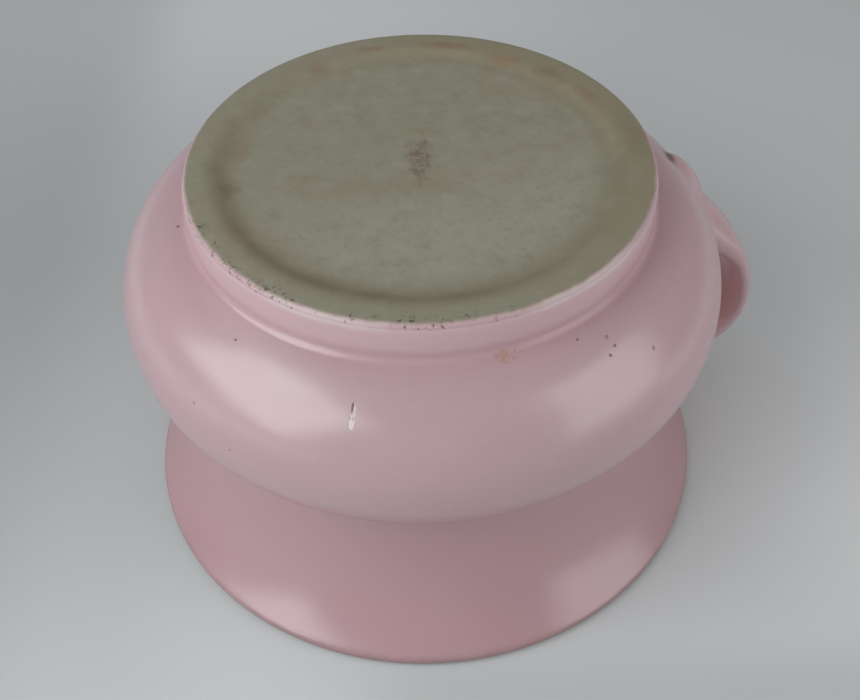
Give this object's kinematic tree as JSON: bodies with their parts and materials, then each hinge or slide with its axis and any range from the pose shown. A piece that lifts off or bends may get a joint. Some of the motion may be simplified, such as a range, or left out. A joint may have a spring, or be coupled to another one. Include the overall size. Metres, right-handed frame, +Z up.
{
  "type": "chamber pot",
  "caption": "Glazed earthenware chamber pot with a round belly, a flared mouth, a low foot ring and a strap handle, kept turned over on its rim.",
  "frame": {"origin": "middle of the mouth, on the ground on which the lip of the turned-over pot rests", "axes": "+Z up, from the mouth towards the foot, as the pot was pictured; +X from the pot's middle towards the handle. For use the pot is turned 180 degrees about X, so that it stands on its foot ring"},
  "size_m": [0.248, 0.22, 0.144],
  "materials": {
    "bare_clay": "bare fired clay, semi-matt and stained",
    "strap_clay": "fired clay under the glaze",
    "slip": "fired slip under the glaze",
    "pink_glaze": "glossy dusty pink glaze",
    "liner_glaze": "glossy dusty pink glaze"
  },
  "bodies": {
    "root": {"pot_body": "bare_clay", "handle": "strap_clay", "tail_slip": "slip", "root_slip": "slip", "outer_glaze": "pink_glaze", "inner_glaze": "liner_glaze", "handle_glaze": "pink_glaze"}
  },
  "joints": []
}
